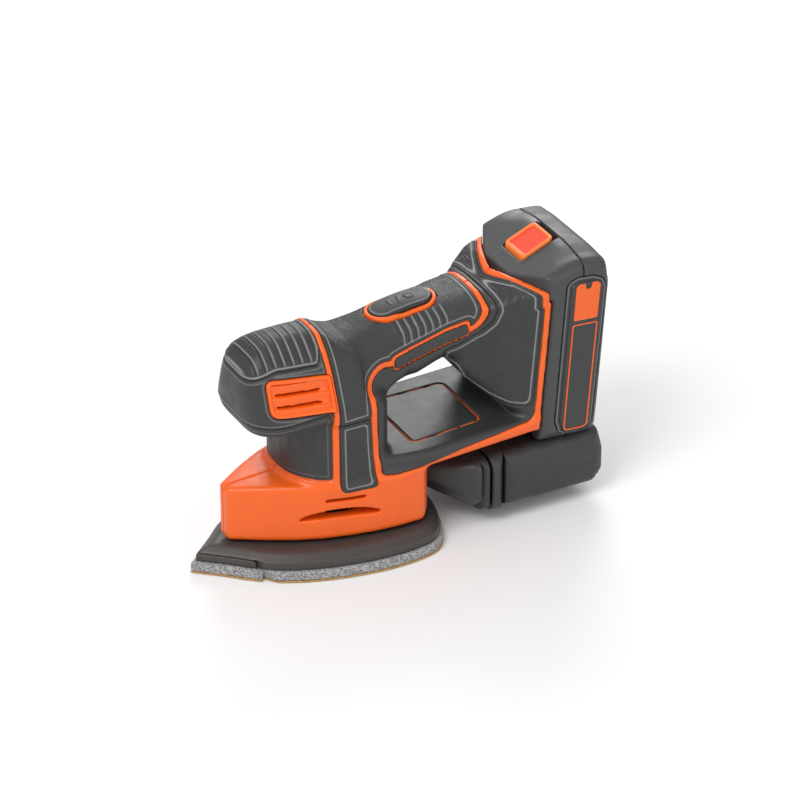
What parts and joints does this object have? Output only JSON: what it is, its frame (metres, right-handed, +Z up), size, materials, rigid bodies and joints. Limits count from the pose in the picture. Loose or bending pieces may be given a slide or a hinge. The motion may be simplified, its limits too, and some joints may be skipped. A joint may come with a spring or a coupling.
{
  "type": "cordless detail sander",
  "caption": "Battery detail sander with a mouse-shaped orbiting platen, palm-grip motor head, closed loop handle, removable battery pack and knurled dust canister",
  "frame": {"origin": "on the sanding face, on the motor's axis", "axes": "+Z up away from the work, -X towards the nose tip, +X towards the battery, +Y to the tool's right side"},
  "size_m": [0.2291, 0.096, 0.1525],
  "materials": {
    "orange_plastic": "moulded glass-filled nylon, fine spark texture",
    "dark_plastic": "moulded, satin",
    "soft_grip": "overmoulded elastomer, diamond texture",
    "black_plastic": "moulded",
    "steel": "turned and ground",
    "motor_steel": "zinc plated can",
    "copper": "copper segments",
    "zinc": "die cast",
    "ferrite": "sintered ferrite",
    "carbon": "pressed carbon",
    "foam": "hook-faced foam",
    "abrasive": "aluminium oxide on paper",
    "filter_paper": "pleated",
    "cell_can": "sleeved steel can",
    "board_green": "glass epoxy",
    "lead_red": "insulated lead",
    "label_grey": "satin"
  },
  "bodies": {
    "tool": {"left_housing": "orange_plastic", "right_housing": "orange_plastic", "left_motor_vent": "orange_plastic", "right_motor_vent": "orange_plastic", "top_grip": "soft_grip", "head_bumper": "dark_plastic", "neck_panel": "soft_grip", "left_column_grip": "soft_grip", "right_column_grip": "soft_grip", "nameplates": "dark_plastic", "handle_grip": "soft_grip", "left_foot_panel": "soft_grip", "right_foot_panel": "soft_grip", "deck_plate": "dark_plastic", "rail_cover": "dark_plastic", "housing_screws": "steel", "switch_frame": "orange_plastic", "switch_body": "black_plastic", "motor_can": "motor_steel", "motor_magnets": "ferrite", "motor_end_cap": "black_plastic", "carbon_brushes": "carbon", "upper_bearing": "steel", "lower_bearing": "steel", "platen_legs": "soft_grip", "dust_spigot": "dark_plastic", "dust_adaptor": "dark_plastic", "terminal_block": "black_plastic", "tool_terminals": "copper", "battery_rails": "black_plastic", "leads": "lead_red"},
    "armature": {"armature_shaft": "steel", "armature_core": "motor_steel", "commutator": "copper", "cooling_fan": "black_plastic", "counterweight": "zinc", "eccentric_pin": "steel", "retaining_screw": "steel"},
    "platen": {"platen": "dark_plastic", "platen_tip": "dark_plastic", "platen_screws": "steel", "platen_bearing": "steel", "foam_pad": "foam", "foam_pad_tip": "foam", "sanding_sheet": "abrasive", "sanding_sheet_tip": "abrasive"},
    "rocker": {"switch_rocker": "black_plastic"},
    "battery": {"battery_front_shell": "dark_plastic", "battery_rear_cover": "dark_plastic", "label_pads": "label_grey", "battery_cells": "cell_can", "cell_holder": "black_plastic", "battery_board": "board_green", "battery_contacts": "copper", "latch_spring": "steel"},
    "button": {"release_button": "orange_plastic"},
    "canister": {"canister_collar": "dark_plastic", "filter_frame": "black_plastic", "filter_element": "filter_paper"},
    "cup": {"dust_cup": "dark_plastic"}
  },
  "joints": [
    {"name": "motor_spin", "type": "hinge", "parent": "tool", "child": "armature", "pos_m": [0, 0, 0.05], "axis": [0, 0, 1], "continuous": true},
    {"name": "platen_orbit", "type": "hinge", "parent": "armature", "child": "platen", "pos_m": [0.0008, 0, 0.02], "axis": [0, 0, 1], "continuous": true, "deforming": ["platen_legs"]},
    {"name": "switch_rock", "type": "hinge", "parent": "tool", "child": "rocker", "pos_m": [0.04334, 0, 0.12572], "axis": [0, 1, 0], "range_deg": [0, 8]},
    {"name": "battery_slide", "type": "slide", "parent": "tool", "child": "battery", "axis": [0.0698, 0, 0.9976], "range_m": [0, 0.105]},
    {"name": "button_press", "type": "slide", "parent": "battery", "child": "button", "axis": [0.4019, 0, -0.9157], "range_m": [0, 0.002], "stiffness_N_per_m": 800, "springref_m": -0.001, "deforming": ["latch_spring"]},
    {"name": "canister_slide", "type": "slide", "parent": "tool", "child": "canister", "axis": [1, 0, 0], "range_m": [0, 0.075]},
    {"name": "cup_slide", "type": "slide", "parent": "canister", "child": "cup", "axis": [1, 0, 0], "range_m": [0, 0.05]}
  ],
  "couplings": [
    {"joint": "platen_orbit", "follows": "motor_spin", "ratio": -1}
  ]
}
